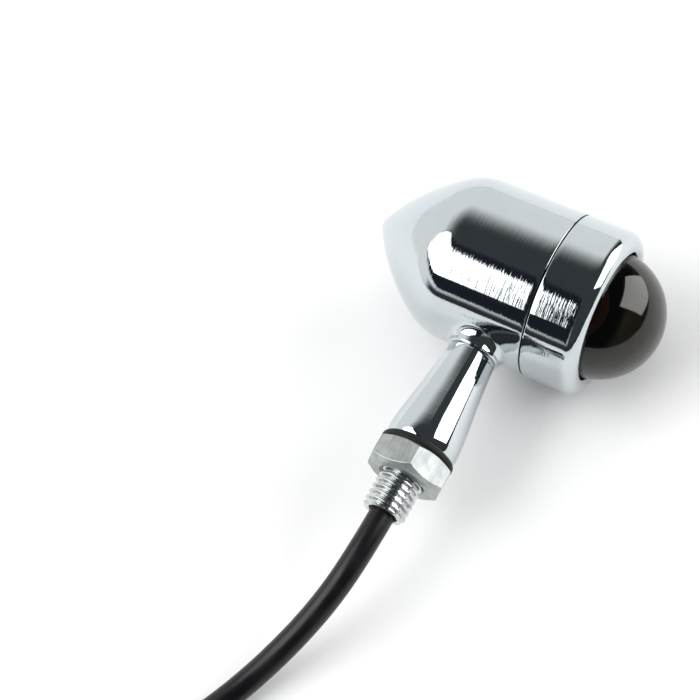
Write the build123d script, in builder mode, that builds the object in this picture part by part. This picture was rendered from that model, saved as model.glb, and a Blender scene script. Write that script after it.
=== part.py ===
"""Chrome bullet turn signal with a smoked lens, a tapered stem and an M10 hollow mounting stud.

Millimetres, +Z up. The lamp looks along +X and its stem points along -Y.
The origin is the centre of the stem's shoulder, the face that seats on the motorcycle's bracket.
"""
from build123d import *
import os
from math import acos, asin, cos, degrees, pi, radians, sin, tan

os.makedirs("parts", exist_ok=True)

# ---- layout ----
BODY_R = 19.5            # body radius, also the height of the lens axis over a table
AXIS_Y = 47.5            # shoulder to the lens axis
FLOOR_Z = -BODY_R        # the table that the lamp lies on

# ---- housing ----
CYLINDER_X = -10.8       # where the nose becomes a cylinder
CHEEK_ARC_R = 13.5       # arc that turns the cylinder into the nose's flank
CHEEK_TURN = 31.6        # how far that arc turns, in degrees
FLANK_ARC_R = 49.0
TIP_ARC_R = 3.5
SEAM_X = 10.6            # joint between housing and bezel
WALL = 1.9
SPIGOT_R = 17.5          # threaded spigot that carries the bezel
SPIGOT_END_X = 16.0
SPIGOT_BORE_R = 15.9
BOSS_R = 6.2             # boss that the stem stands on
BOSS_LENGTH = 2.0        # how far it stands out of the body
BOSS_FILLET = 1.6
BOSS_BORE_R = 4.3        # takes the stem's spigot
POST_R = 2.7
POST_Z = 12.6
POST_X = -12.0
SCREW_R = 1.5
SCREW_HOLE = 5.5         # depth of the holes in the posts

# ---- lens, gasket and bezel ----
BEZEL_END_X = 23.6
BEZEL_EDGE_R = 3.2
BEZEL_INNER_R = 1.0      # rounding of the opening's edge
BEZEL_LIP_X = 20.0
SEAM_GAP = 0.05
LENS_GAP = 0.03          # between the bezel's lip and the lens flange
BEZEL_OPENING_R = 15.2
BEZEL_BORE_R = SPIGOT_R + 0.05
THREAD_CHAMFER = 0.4
REFLECTOR_T = 0.5
REFLECTOR_LEAN = 0.25    # how far its back is shifted along the axis
GASKET_INSET = 0.1
LENS_FLANGE_T = 2.5
LENS_FLANGE_R = 17.2
LENS_R = 14.95
LENS_CENTRE_X = 20.8     # centre of the dome
LENS_WALL = 2.0

# ---- bulb ----
BASE_R = 7.5
BASE_WALL = 0.4
BASE_X = (-11.5, 3.5)
BASE_FILLET = 0.8
BASE_HOLE_R = 5.5        # hole in the base's end, filled by the insulator
GLASS_NECK_R = 7.0
GLASS_R = 9.0
GLASS_CENTRE_X = 13.5
GLASS_WALL = 0.6
PIN_X = -4.5
PIN_R = 1.0
PIN_TIP_R = 8.8
PIN_ROOT_R = 6.5
TIP_R = 2.3
TIP_X = -12.5
TIP_FILLET = 0.5

# ---- socket ----
SHELL_BORE_R = 7.6
SHELL_R = 8.2
SHELL_X = (-19.0, 2.5)
PUSH = 1.2               # bayonet travel
TURN = 20.0              # bayonet turn in degrees
SLOT_GAP = 0.15
SLOT_CUT = 2.0           # radial depth of the cut that makes a slot
REAR_T = 0.8             # the shell's rear wall
DISC_R = 7.4
DISC_T = 1.2
PLUNGER_R = 2.0
PLUNGER_TAIL = 1.6
REAR_HOLE_R = 3.2
RIVET_R = 1.5
SPRING_R = 5.2
SPRING_WIRE_R = 0.25
SPRING_TURNS = 3
BRACKET_T = 1.0
BRACKET_R = 11.0
BRACKET_EAR = 7.0
BRACKET_Z = 15.7         # half its height over the ears
LUG_T = 0.6
LUG_R = 2.9

# ---- stem and stud ----
SHOULDER_R = 8.4
STEM_TOP_R = 5.7
STEM_FOOT_IN = 1.0       # how far the foot rounds in, and over what height
STEM_FOOT_H = 2.8
STEM_BORE_R = 3.3
STUD_R = 5.0             # M10
STUD_PITCH = 1.5
STUD_ROOT_R = 4.08
STUD_END_Y = -16.2
STUD_TOP_Y = 9.0
STUD_BORE_R = 3.3
STUD_CHAMFER = 0.5
EDGE = 0.4               # small chamfer where the stem meets the boss
END_LAND = 1.2           # plain land behind the stud's end chamfer
CREST = STUD_PITCH / 8
GROOVES = 9
WASHER_R = 7.9
WASHER_T = 0.5
NUT_FLATS = 17.0
NUT_T = 7.0
NUT_CHAMFER = 30.0       # slope of the faces' chamfer, in degrees
NUT_BORE_R = STUD_R + 0.05
NUT_BORE_CHAMFER = 0.7
NUT_MARGIN = 0.5         # how far the chamfer's cut reaches past the corners
NUT_TURN = 15.0          # how far the hexagon is turned from a corner straight up

# ---- leads ----
LEAD_R = 0.9
LEAD_Z = 1.25            # the two leads pass the stem side by side
SLEEVE_R = 2.9
SLEEVE_START_Y = -12.0   # the sleeve starts inside the stud
CORNER_SHARE = 0.45      # share of a straight run that each of its corners may take
FLOOR_GAP = 0.05


def lens_plane():
    """Sketch plane through the lens axis: local x runs along it and local y is the radius."""
    return Plane(origin=(0, AXIS_Y, 0), x_dir=(1, 0, 0), z_dir=(0, 0, 1))


def across(x):
    """Sketch plane square to the lens axis, with local x along +Y and local y along +Z."""
    return Plane(origin=(x, AXIS_Y, 0), x_dir=(0, 1, 0), z_dir=(1, 0, 0))


def below(y):
    """Sketch plane square to the stem, facing -Y, with local x along +X."""
    return Plane(origin=(0, y, 0), x_dir=(1, 0, 0), z_dir=(0, -1, 0))


def polar(radius, angle):
    """A point at this radius and angle in degrees."""
    return (radius * cos(radians(angle)), radius * sin(radians(angle)))


def save(part, name):
    """Label one sub-part and write its file."""
    part.label = name
    export_step(part, f"parts/{name}.step")


def arc_radii(points):
    """The radius of each corner: a share of the shorter run over the tangent of half the turn."""
    radii = []
    for a, b, c in zip(points, points[1:], points[2:]):
        before = Vector(*b) - Vector(*a)
        after = Vector(*c) - Vector(*b)
        turn = before.get_angle(after)
        radii.append(CORNER_SHARE * min(before.length, after.length) / tan(radians(turn / 2)))
    return radii


LENS_AXIS = Axis((0, AXIS_Y, 0), (1, 0, 0))
FLANGE_X = (BEZEL_LIP_X - LENS_GAP - LENS_FLANGE_T, BEZEL_LIP_X - LENS_GAP)
BODY_BOTTOM_Y = AXIS_Y - BODY_R
STEM_LENGTH = BODY_BOTTOM_Y - BOSS_LENGTH

CHEEK_CENTRE = (CYLINDER_X, BODY_R - CHEEK_ARC_R)
FLANK_CENTRE = (
    CHEEK_CENTRE[0] + (FLANK_ARC_R - CHEEK_ARC_R) * sin(radians(CHEEK_TURN)),
    CHEEK_CENTRE[1] - (FLANK_ARC_R - CHEEK_ARC_R) * cos(radians(CHEEK_TURN)),
)
FLANK_TURN = degrees(acos(-FLANK_CENTRE[1] / (FLANK_ARC_R - TIP_ARC_R)))
TIP_CENTRE_X = FLANK_CENTRE[0] - (FLANK_ARC_R - TIP_ARC_R) * sin(radians(FLANK_TURN))
NOSE_X = TIP_CENTRE_X - TIP_ARC_R


def nose_arcs(inset):
    """The nose's three arcs from its tip to the cylinder, this far inside its outer face."""
    CenterArc((TIP_CENTRE_X, 0), TIP_ARC_R - inset, 180, FLANK_TURN - 90)
    CenterArc(FLANK_CENTRE, FLANK_ARC_R - inset, 90 + FLANK_TURN, CHEEK_TURN - FLANK_TURN)
    CenterArc(CHEEK_CENTRE, CHEEK_ARC_R - inset, 90 + CHEEK_TURN, -CHEEK_TURN)


# ---- housing: bullet nose, plain cylinder, threaded spigot, boss and two screw posts ----
with BuildPart() as nose:
    with BuildSketch(lens_plane()):
        with BuildLine():
            nose_arcs(0)
            Polyline(
                (CYLINDER_X, BODY_R),
                (SEAM_X, BODY_R),
                (SEAM_X, SPIGOT_R),
                (SPIGOT_END_X - THREAD_CHAMFER, SPIGOT_R),
                (SPIGOT_END_X, SPIGOT_R - THREAD_CHAMFER),
                (SPIGOT_END_X, 0),
                (NOSE_X, 0),
            )
        make_face()
    revolve(axis=LENS_AXIS)

with BuildPart() as cavity:
    with BuildSketch(lens_plane()):
        with BuildLine():
            nose_arcs(WALL)
            Polyline(
                (CYLINDER_X, BODY_R - WALL),
                (SEAM_X - WALL, BODY_R - WALL),
                (SEAM_X, SPIGOT_BORE_R),
                (SPIGOT_END_X, SPIGOT_BORE_R),
                (SPIGOT_END_X, 0),
                (NOSE_X + WALL, 0),
            )
        make_face()
    revolve(axis=LENS_AXIS)
    with BuildSketch(across(POST_X)):
        with Locations((0, POST_Z), (0, -POST_Z)):
            Circle(POST_R)
    extrude(amount=NOSE_X - POST_X, mode=Mode.SUBTRACT)

with BuildPart() as housing:
    add(nose.part)
    with BuildSketch(below(STEM_LENGTH)):
        Circle(BOSS_R)
    extrude(amount=-(BODY_R / 2 + BOSS_LENGTH))
    boss_edges = housing.edges().filter_by(
        lambda e: e.geom_type not in (GeomType.LINE, GeomType.CIRCLE)
        and abs(e.center().X) < BOSS_R + WALL
        and e.center().Y < AXIS_Y - BODY_R / 2
    )
    fillet(boss_edges, BOSS_FILLET)
    add(cavity.part, mode=Mode.SUBTRACT)
    with BuildSketch(below(STEM_LENGTH)):
        Circle(BOSS_BORE_R)
    extrude(amount=-(BODY_R / 2 + BOSS_LENGTH), mode=Mode.SUBTRACT)
    with BuildSketch(across(POST_X)):
        with Locations((0, POST_Z), (0, -POST_Z)):
            Circle(SCREW_R)
    extrude(amount=-SCREW_HOLE, mode=Mode.SUBTRACT)
save(housing.part, "housing")

# ---- bezel: screws on the spigot and holds the lens by its flange ----
with BuildPart() as bezel:
    with BuildSketch(lens_plane()):
        with BuildLine():
            Polyline(
                (SEAM_X + SEAM_GAP, BEZEL_BORE_R + THREAD_CHAMFER),
                (SEAM_X + SEAM_GAP, BODY_R),
                (BEZEL_END_X - BEZEL_EDGE_R, BODY_R),
            )
            RadiusArc(
                (BEZEL_END_X - BEZEL_EDGE_R, BODY_R),
                (BEZEL_END_X, BODY_R - BEZEL_EDGE_R),
                BEZEL_EDGE_R,
            )
            Line(
                (BEZEL_END_X, BODY_R - BEZEL_EDGE_R),
                (BEZEL_END_X, BEZEL_OPENING_R + BEZEL_INNER_R),
            )
            RadiusArc(
                (BEZEL_END_X, BEZEL_OPENING_R + BEZEL_INNER_R),
                (BEZEL_END_X - BEZEL_INNER_R, BEZEL_OPENING_R),
                BEZEL_INNER_R,
            )
            Polyline(
                (BEZEL_END_X - BEZEL_INNER_R, BEZEL_OPENING_R),
                (BEZEL_LIP_X, BEZEL_OPENING_R),
                (BEZEL_LIP_X, BEZEL_BORE_R),
                (SEAM_X + SEAM_GAP + THREAD_CHAMFER, BEZEL_BORE_R),
                (SEAM_X + SEAM_GAP, BEZEL_BORE_R + THREAD_CHAMFER),
            )
        make_face()
    revolve(axis=LENS_AXIS)
save(bezel.part, "bezel")

# ---- lens: a hollow dome with a flange ----
LENS_INNER_R = LENS_R - LENS_WALL
with BuildPart() as lens:
    with BuildSketch(lens_plane()):
        with BuildLine():
            Polyline(
                (FLANGE_X[0], LENS_INNER_R),
                (FLANGE_X[0], LENS_FLANGE_R),
                (FLANGE_X[1], LENS_FLANGE_R),
                (FLANGE_X[1], LENS_R),
                (LENS_CENTRE_X, LENS_R),
            )
            RadiusArc((LENS_CENTRE_X, LENS_R), (LENS_CENTRE_X + LENS_R, 0), LENS_R)
            Line((LENS_CENTRE_X + LENS_R, 0), (LENS_CENTRE_X + LENS_INNER_R, 0))
            RadiusArc((LENS_CENTRE_X + LENS_INNER_R, 0), (LENS_CENTRE_X, LENS_INNER_R), -LENS_INNER_R)
            Line((LENS_CENTRE_X, LENS_INNER_R), (FLANGE_X[0], LENS_INNER_R))
        make_face()
    revolve(axis=LENS_AXIS)
save(lens.part, "lens")

# ---- gasket between the reflector's rim and the lens flange ----
with BuildPart() as lens_gasket:
    with BuildSketch(across(FLANGE_X[0])):
        Circle(LENS_FLANGE_R - GASKET_INSET)
        Circle(SPIGOT_BORE_R + GASKET_INSET, mode=Mode.SUBTRACT)
    extrude(amount=-(FLANGE_X[0] - SPIGOT_END_X - REFLECTOR_T))
save(lens_gasket.part, "lens_gasket")

# ---- reflector: a spun dish whose rim lies on the end of the spigot ----
DISH = ((3.0, 9.7), (6.2, 12.4), (10.0, 14.1), (SPIGOT_END_X - 1.0, 15.2))
RIM_FRONT_R = SPIGOT_BORE_R - 0.3
RIM_BACK_R = SPIGOT_BORE_R - 0.6
with BuildPart() as reflector:
    with BuildSketch(lens_plane()):
        with BuildLine():
            Spline(*DISH)
            Polyline(
                DISH[-1],
                (SPIGOT_END_X, RIM_FRONT_R),
                (SPIGOT_END_X, SPIGOT_R - THREAD_CHAMFER),
                (SPIGOT_END_X + REFLECTOR_T, SPIGOT_R - THREAD_CHAMFER),
                (SPIGOT_END_X + REFLECTOR_T, RIM_BACK_R),
                (DISH[-1][0] + REFLECTOR_LEAN, DISH[-1][1] - REFLECTOR_T),
            )
            Spline(*[(x + REFLECTOR_LEAN, r - REFLECTOR_T) for x, r in reversed(DISH[1:-1])])
            Polyline(
                (DISH[-1][0] + REFLECTOR_LEAN, DISH[-1][1] - REFLECTOR_T),
                (DISH[-2][0] + REFLECTOR_LEAN, DISH[-2][1] - REFLECTOR_T),
            )
            Polyline(
                (DISH[1][0] + REFLECTOR_LEAN, DISH[1][1] - REFLECTOR_T),
                (DISH[0][0] + REFLECTOR_LEAN, DISH[0][1] - REFLECTOR_T),
                DISH[0],
            )
        make_face()
    revolve(axis=LENS_AXIS)
save(reflector.part, "reflector")

# ---- bulb: glass, filament on two supports, glass mount, brass base, insulator, solder tip, pins ----
GLASS_IN_X = 0.0             # the glass is cemented this deep in the base
with BuildPart() as bulb_glass:
    with BuildSketch(lens_plane()):
        with BuildLine():
            neck_end = (GLASS_CENTRE_X - (GLASS_R**2 - GLASS_NECK_R**2) ** 0.5, GLASS_NECK_R)
            inner_r = GLASS_R - GLASS_WALL
            inner_neck = GLASS_NECK_R - GLASS_WALL
            inner_end = (GLASS_CENTRE_X - (inner_r**2 - inner_neck**2) ** 0.5, inner_neck)
            Line((GLASS_IN_X, GLASS_NECK_R), neck_end)
            ThreePointArc(neck_end, (GLASS_CENTRE_X, GLASS_R), (GLASS_CENTRE_X + GLASS_R, 0))
            Line((GLASS_CENTRE_X + GLASS_R, 0), (GLASS_CENTRE_X + inner_r, 0))
            ThreePointArc((GLASS_CENTRE_X + inner_r, 0), (GLASS_CENTRE_X, inner_r), inner_end)
            Polyline(inner_end, (GLASS_IN_X, inner_neck), (GLASS_IN_X, GLASS_NECK_R))
        make_face()
    revolve(axis=LENS_AXIS)
save(bulb_glass.part, "bulb_glass")

MOUNT_TOP_X = 7.5
MOUNT_TOP_R = 1.0
MOUNT_WAIST = (3.5, 1.6)
MOUNT_RIM = 0.6
PINCH_W = 1.6
PINCH_LENGTH = 2.0
PINCH_MARGIN = 0.6           # glass outside each support
SUPPORT_R = 0.25
SUPPORT_Z = 2.6
FILAMENT_X = 13.5
FILAMENT_R = 0.35
FILAMENT_OVER = 0.3          # how far it reaches past each support
with BuildPart() as bulb_mount:
    with BuildSketch(lens_plane()):
        with BuildLine():
            Polyline(
                (MOUNT_TOP_X, 0),
                (MOUNT_TOP_X, MOUNT_TOP_R),
                MOUNT_WAIST,
                (GLASS_IN_X + MOUNT_RIM, inner_neck),
                (GLASS_IN_X, inner_neck),
                (GLASS_IN_X, 0),
                (MOUNT_TOP_X, 0),
            )
        make_face()
    revolve(axis=LENS_AXIS)
    with BuildSketch(across(MOUNT_TOP_X)):
        Rectangle(PINCH_W, 2 * (SUPPORT_Z + PINCH_MARGIN))
    extrude(amount=-PINCH_LENGTH)
save(bulb_mount.part, "bulb_mount")

with BuildPart() as bulb_supports:
    for side in (-1, 1):
        with BuildSketch(across(MOUNT_TOP_X)):
            with Locations((0, side * SUPPORT_Z)):
                Circle(SUPPORT_R)
        extrude(amount=FILAMENT_X - FILAMENT_R - MOUNT_TOP_X)
save(bulb_supports.part, "bulb_supports")

with BuildPart() as bulb_filament:
    with BuildSketch(Plane.XY.offset(-SUPPORT_Z - FILAMENT_OVER)):
        with Locations((FILAMENT_X, AXIS_Y)):
            Circle(FILAMENT_R)
    extrude(amount=2 * (SUPPORT_Z + FILAMENT_OVER))
save(bulb_filament.part, "bulb_filament")

INSULATOR_T = 2.4
with BuildPart() as bulb_base:
    with BuildSketch(across(BASE_X[0])):
        Circle(BASE_R)
    extrude(amount=BASE_X[1] - BASE_X[0])
    fillet(bulb_base.edges().filter_by(GeomType.CIRCLE).sort_by(Axis.X)[0], BASE_FILLET)
    with BuildSketch(across(BASE_X[0] + BASE_WALL)):
        Circle(BASE_R - BASE_WALL)
    extrude(amount=BASE_X[1] - BASE_X[0], mode=Mode.SUBTRACT)
    with BuildSketch(across(BASE_X[0])):
        Circle(BASE_HOLE_R)
    extrude(amount=BASE_WALL, mode=Mode.SUBTRACT)
    for side in (-1, 1):
        with BuildSketch(Plane(origin=(PIN_X, AXIS_Y, 0), x_dir=(1, 0, 0), z_dir=(0, side, 0))):
            Circle(PIN_R)
        extrude(amount=PIN_TIP_R, mode=Mode.SUBTRACT)
save(bulb_base.part, "bulb_base")

with BuildPart() as bulb_insulator:
    with BuildSketch(across(BASE_X[0])):
        Circle(BASE_HOLE_R)
        Circle(TIP_R, mode=Mode.SUBTRACT)
    extrude(amount=BASE_WALL)
    with BuildSketch(across(BASE_X[0] + BASE_WALL)):
        Circle(BASE_R - BASE_WALL)
        Circle(TIP_R, mode=Mode.SUBTRACT)
    extrude(amount=INSULATOR_T - BASE_WALL)
save(bulb_insulator.part, "bulb_insulator")

with BuildPart() as bulb_tip:
    with BuildSketch(across(TIP_X)):
        Circle(TIP_R)
    extrude(amount=BASE_X[0] + INSULATOR_T - TIP_X)
    fillet(bulb_tip.edges().filter_by(GeomType.CIRCLE).sort_by(Axis.X)[0], TIP_FILLET)
save(bulb_tip.part, "bulb_tip")

with BuildPart() as bulb_pins:
    for side in (-1, 1):
        with BuildSketch(
            Plane(
                origin=(PIN_X, AXIS_Y + side * PIN_ROOT_R, 0),
                x_dir=(1, 0, 0),
                z_dir=(0, side, 0),
            )
        ):
            Circle(PIN_R)
        extrude(amount=PIN_TIP_R - PIN_ROOT_R)
save(bulb_pins.part, "bulb_pins")

# ---- socket shell with two bayonet slots ----
SLOT_HALF = degrees(asin((PIN_R + SLOT_GAP) / SHELL_BORE_R))
SLOT_X = (PIN_X - PIN_R - PUSH - SLOT_GAP, PIN_X + PIN_R + 0.02)
SLOT_MOUTH_X = SHELL_X[1] + 1.0
with BuildPart() as socket_shell:
    with BuildSketch(across(SHELL_X[0])):
        Circle(SHELL_R)
    extrude(amount=SHELL_X[1] - SHELL_X[0])
    with BuildSketch(across(SHELL_X[0] + REAR_T)):
        Circle(SHELL_BORE_R)
    extrude(amount=SHELL_X[1] - SHELL_X[0], mode=Mode.SUBTRACT)
    with BuildSketch(across(SHELL_X[0])):
        Circle(REAR_HOLE_R)
    extrude(amount=REAR_T, mode=Mode.SUBTRACT)
    for side in (0, 180):
        with BuildSketch(lens_plane().rotated((side - SLOT_HALF, 0, 0))):
            with Locations(((SLOT_X[0] + SLOT_X[1]) / 2, SHELL_R)):
                Rectangle(SLOT_X[1] - SLOT_X[0], SLOT_CUT)
        revolve(axis=LENS_AXIS, revolution_arc=TURN + 2 * SLOT_HALF, mode=Mode.SUBTRACT)
        with BuildSketch(lens_plane().rotated((side + TURN - SLOT_HALF, 0, 0))):
            with Locations(((SLOT_X[0] + SLOT_MOUTH_X) / 2, SHELL_R)):
                Rectangle(SLOT_MOUTH_X - SLOT_X[0], SLOT_CUT)
        revolve(axis=LENS_AXIS, revolution_arc=2 * SLOT_HALF, mode=Mode.SUBTRACT)
save(socket_shell.part, "socket_shell")

# ---- socket: insulated rear terminal, spring, sliding disc and its contact ----
REAR_DISC_T = 0.5
REAR_DISC_R = SHELL_BORE_R - 0.1
with BuildPart() as rear_insulator:
    with BuildSketch(across(SHELL_X[0])):
        Circle(REAR_HOLE_R)
        Circle(RIVET_R, mode=Mode.SUBTRACT)
    extrude(amount=REAR_T)
    with BuildSketch(across(SHELL_X[0] + REAR_T)):
        Circle(REAR_DISC_R)
        Circle(RIVET_R, mode=Mode.SUBTRACT)
    extrude(amount=REAR_DISC_T)
save(rear_insulator.part, "rear_insulator")

RIVET_HEAD_X = SHELL_X[0] + REAR_T + REAR_DISC_T
TERMINAL_TAIL = 2.0
SEAT_T = 0.4                 # each of the two discs that the spring bears on
SPRING_SEAT_R = SPRING_R + SPRING_WIRE_R + 0.2
with BuildPart() as rear_terminal:
    with BuildSketch(across(SHELL_X[0] - TERMINAL_TAIL)):
        Circle(RIVET_R)
    extrude(amount=RIVET_HEAD_X + SEAT_T - SHELL_X[0] + TERMINAL_TAIL)
    with BuildSketch(across(RIVET_HEAD_X)):
        Circle(SPRING_SEAT_R)
    extrude(amount=SEAT_T)
save(rear_terminal.part, "rear_terminal")

DISC_X = (TIP_X - DISC_T, TIP_X)
with BuildPart() as contact_disc:
    with BuildSketch(across(DISC_X[0])):
        Circle(DISC_R)
        Circle(PLUNGER_R, mode=Mode.SUBTRACT)
    extrude(amount=DISC_T)
save(contact_disc.part, "contact_disc")

with BuildPart() as contact_plunger:
    with BuildSketch(across(DISC_X[0] - PLUNGER_TAIL)):
        Circle(PLUNGER_R)
    extrude(amount=DISC_T + PLUNGER_TAIL)
    with BuildSketch(across(DISC_X[0] - SEAT_T)):
        Circle(SPRING_SEAT_R)
    extrude(amount=SEAT_T)
save(contact_plunger.part, "contact_plunger")

SPRING_X = (RIVET_HEAD_X + SEAT_T + SPRING_WIRE_R, DISC_X[0] - SEAT_T - SPRING_WIRE_R)
with BuildPart() as contact_spring:
    with BuildLine() as coil_line:
        Helix(
            pitch=(SPRING_X[1] - SPRING_X[0]) / SPRING_TURNS,
            height=SPRING_X[1] - SPRING_X[0],
            radius=SPRING_R,
            center=(SPRING_X[0], AXIS_Y, 0),
            direction=(1, 0, 0),
        )
    with BuildSketch(Plane(origin=coil_line.line @ 0, z_dir=coil_line.line % 0)):
        Circle(SPRING_WIRE_R)
    sweep(path=coil_line.line, is_frenet=True)
save(contact_spring.part, "contact_spring")

# ---- bracket, ground lug and screws ----
with BuildPart() as socket_bracket:
    with BuildSketch(across(POST_X)):
        Circle(BRACKET_R)
        Rectangle(BRACKET_EAR, 2 * BRACKET_Z)
        Circle(SHELL_R, mode=Mode.SUBTRACT)
        with Locations((0, POST_Z), (0, -POST_Z)):
            Circle(SCREW_R, mode=Mode.SUBTRACT)
    extrude(amount=BRACKET_T)
save(socket_bracket.part, "socket_bracket")

LUG_X = POST_X + BRACKET_T
LUG_TAB = (-3.6, 5.0, 2.4)   # middle along Y, length and width
LUG_BARREL = (-4.6, -8.6)    # from and to, along Y
LUG_BARREL_R = 1.3
LUG_BARREL_X = LUG_X + LUG_BARREL_R
with BuildPart() as ground_lug:
    with BuildSketch(across(LUG_X)):
        with Locations((0, POST_Z)):
            Circle(LUG_R)
        with Locations((LUG_TAB[0], POST_Z)):
            Rectangle(LUG_TAB[1], LUG_TAB[2])
        with Locations((0, POST_Z)):
            Circle(SCREW_R, mode=Mode.SUBTRACT)
    extrude(amount=LUG_T)
    with BuildSketch(
        Plane(origin=(LUG_BARREL_X, AXIS_Y + LUG_BARREL[0], POST_Z), x_dir=(1, 0, 0), z_dir=(0, -1, 0))
    ):
        Circle(LUG_BARREL_R)
    extrude(amount=LUG_BARREL[0] - LUG_BARREL[1])
save(ground_lug.part, "ground_lug")

SCREW_LENGTH = 6.0
HEAD_R = 2.75
HEAD_T = 1.8
HEAD_TAPER = 12
RECESS = (2.6, 0.6, 1.0)     # span, width and depth of the cross recess
with BuildPart() as bracket_screws:
    for side, seat in ((1, LUG_X + LUG_T), (-1, LUG_X)):
        with BuildSketch(across(seat)):
            with Locations((0, side * POST_Z)):
                Circle(SCREW_R)
        extrude(amount=-SCREW_LENGTH)
        with BuildSketch(across(seat)):
            with Locations((0, side * POST_Z)):
                Circle(HEAD_R)
        extrude(amount=HEAD_T, taper=HEAD_TAPER)
        with BuildSketch(across(seat + HEAD_T)):
            with Locations((0, side * POST_Z)):
                Rectangle(RECESS[0], RECESS[1])
                Rectangle(RECESS[1], RECESS[0])
        extrude(amount=-RECESS[2], mode=Mode.SUBTRACT)
save(bracket_screws.part, "bracket_screws")

# ---- stem: a tapered tube with a rounded foot and a spigot in the housing's boss ----
SPIGOT_LENGTH = 5.0
FOOT_MID = (0.25, 0.42)      # the rounded foot's middle, as shares of its inset and height
STEM_WAIST = ((0.55, 0.32), (1.6, 0.62))     # narrowing, at this share of the length
with BuildPart() as stem:
    with BuildSketch(Plane.XY):
        with BuildLine():
            Line((STEM_BORE_R, 0), (SHOULDER_R - STEM_FOOT_IN, 0))
            ThreePointArc(
                (SHOULDER_R - STEM_FOOT_IN, 0),
                (SHOULDER_R - STEM_FOOT_IN * FOOT_MID[0], STEM_FOOT_H * FOOT_MID[1]),
                (SHOULDER_R, STEM_FOOT_H),
            )
            Spline(
                (SHOULDER_R, STEM_FOOT_H),
                *[(SHOULDER_R - narrower, STEM_LENGTH * share) for narrower, share in STEM_WAIST],
                (STEM_TOP_R, STEM_LENGTH - EDGE),
                tangents=((0, 1), (-0.1, 1)),
            )
            Polyline(
                (STEM_TOP_R, STEM_LENGTH - EDGE),
                (STEM_TOP_R - EDGE, STEM_LENGTH),
                (BOSS_BORE_R, STEM_LENGTH),
                (BOSS_BORE_R, STEM_LENGTH + SPIGOT_LENGTH),
                (STEM_BORE_R, STEM_LENGTH + SPIGOT_LENGTH),
                (STEM_BORE_R, 0),
            )
        make_face()
    revolve(axis=Axis.Y)
    with BuildSketch(below(STUD_TOP_Y)):
        Circle(STUD_R)
    extrude(amount=STUD_TOP_Y, mode=Mode.SUBTRACT)
save(stem.part, "stem")

# ---- stud: hollow, with the M10 thread as one groove per pitch ----
FLANK = (STUD_R - STUD_ROOT_R) * tan(radians(30))
ROOT_FLAT = STUD_PITCH - CREST - 2 * FLANK
LAND_TOP_Y = STUD_END_Y + STUD_CHAMFER + END_LAND
thread_line = [(STUD_BORE_R, STUD_END_Y), (STUD_R - STUD_CHAMFER, STUD_END_Y)]
thread_line += [(STUD_R, STUD_END_Y + STUD_CHAMFER)]
for turn in range(GROOVES):
    start = LAND_TOP_Y + turn * STUD_PITCH
    thread_line += [
        (STUD_R, start),
        (STUD_ROOT_R, start + FLANK),
        (STUD_ROOT_R, start + FLANK + ROOT_FLAT),
        (STUD_R, start + 2 * FLANK + ROOT_FLAT),
    ]
thread_line += [(STUD_R, STUD_TOP_Y), (STUD_BORE_R, STUD_TOP_Y), (STUD_BORE_R, STUD_END_Y)]
with BuildPart() as stud:
    with BuildSketch(Plane.XY):
        with BuildLine():
            Polyline(*thread_line)
        make_face()
    revolve(axis=Axis.Y)
save(stud.part, "stud")

# ---- rubber washer and nut ----
with BuildPart() as washer:
    with BuildSketch(below(0)):
        Circle(WASHER_R)
        Circle(NUT_BORE_R, mode=Mode.SUBTRACT)
    extrude(amount=WASHER_T)
save(washer.part, "washer")

NUT_GAP = 0.02
NUT_TOP_Y = -WASHER_T - NUT_GAP
NUT_CORNER_R = NUT_FLATS / 2 / cos(radians(30))
NUT_FACE_R = NUT_FLATS / 2 * 0.88
NUT_SLOPE = (NUT_CORNER_R + NUT_MARGIN - NUT_FACE_R) * tan(radians(NUT_CHAMFER))
with BuildPart() as nut:
    with BuildSketch(below(NUT_TOP_Y)):
        RegularPolygon(NUT_CORNER_R, 6, rotation=90 - NUT_TURN)
    extrude(amount=NUT_T)
    with BuildSketch(Plane.XY):
        with BuildLine():
            Polyline(
                (NUT_BORE_R, NUT_TOP_Y - NUT_BORE_CHAMFER),
                (NUT_BORE_R + NUT_BORE_CHAMFER, NUT_TOP_Y),
                (NUT_FACE_R, NUT_TOP_Y),
                (NUT_CORNER_R + NUT_MARGIN, NUT_TOP_Y - NUT_SLOPE),
                (NUT_CORNER_R + NUT_MARGIN, NUT_TOP_Y - NUT_T + NUT_SLOPE),
                (NUT_FACE_R, NUT_TOP_Y - NUT_T),
                (NUT_BORE_R + NUT_BORE_CHAMFER, NUT_TOP_Y - NUT_T),
                (NUT_BORE_R, NUT_TOP_Y - NUT_T + NUT_BORE_CHAMFER),
                (NUT_BORE_R, NUT_TOP_Y - NUT_BORE_CHAMFER),
            )
        make_face()
    revolve(axis=Axis.Y, mode=Mode.INTERSECT)
save(nut.part, "nut")

# ---- leads inside the lamp, from the socket down the stem to the sleeve ----
def lead(points):
    """A round lead of LEAD_R along straight runs joined by arcs."""
    with BuildPart() as wire:
        with BuildLine() as path:
            FilletPolyline(*points, radius=arc_radii(points))
        with BuildSketch(Plane(origin=path.line @ 0, z_dir=path.line % 0)):
            Circle(LEAD_R)
        sweep(path=path.line)
    return wire.part


WALL_Y = AXIS_Y - 14.4       # the leads pass the bracket close to the wall
live_points = (
    (SHELL_X[0] - TERMINAL_TAIL, AXIS_Y, 0),
    (SHELL_X[0] - 4.6, AXIS_Y, 0),
    (SHELL_X[0] - 3.1, AXIS_Y - 7.2, -0.7),
    (SHELL_X[0] + 1.6, AXIS_Y - 11.6, -LEAD_Z),
    (SHELL_X[0] + 8.0, WALL_Y, -LEAD_Z),
    (0, WALL_Y - 0.6, -LEAD_Z),
    (0, SLEEVE_START_Y, -LEAD_Z),
)
save(lead(live_points), "live_lead")

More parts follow.
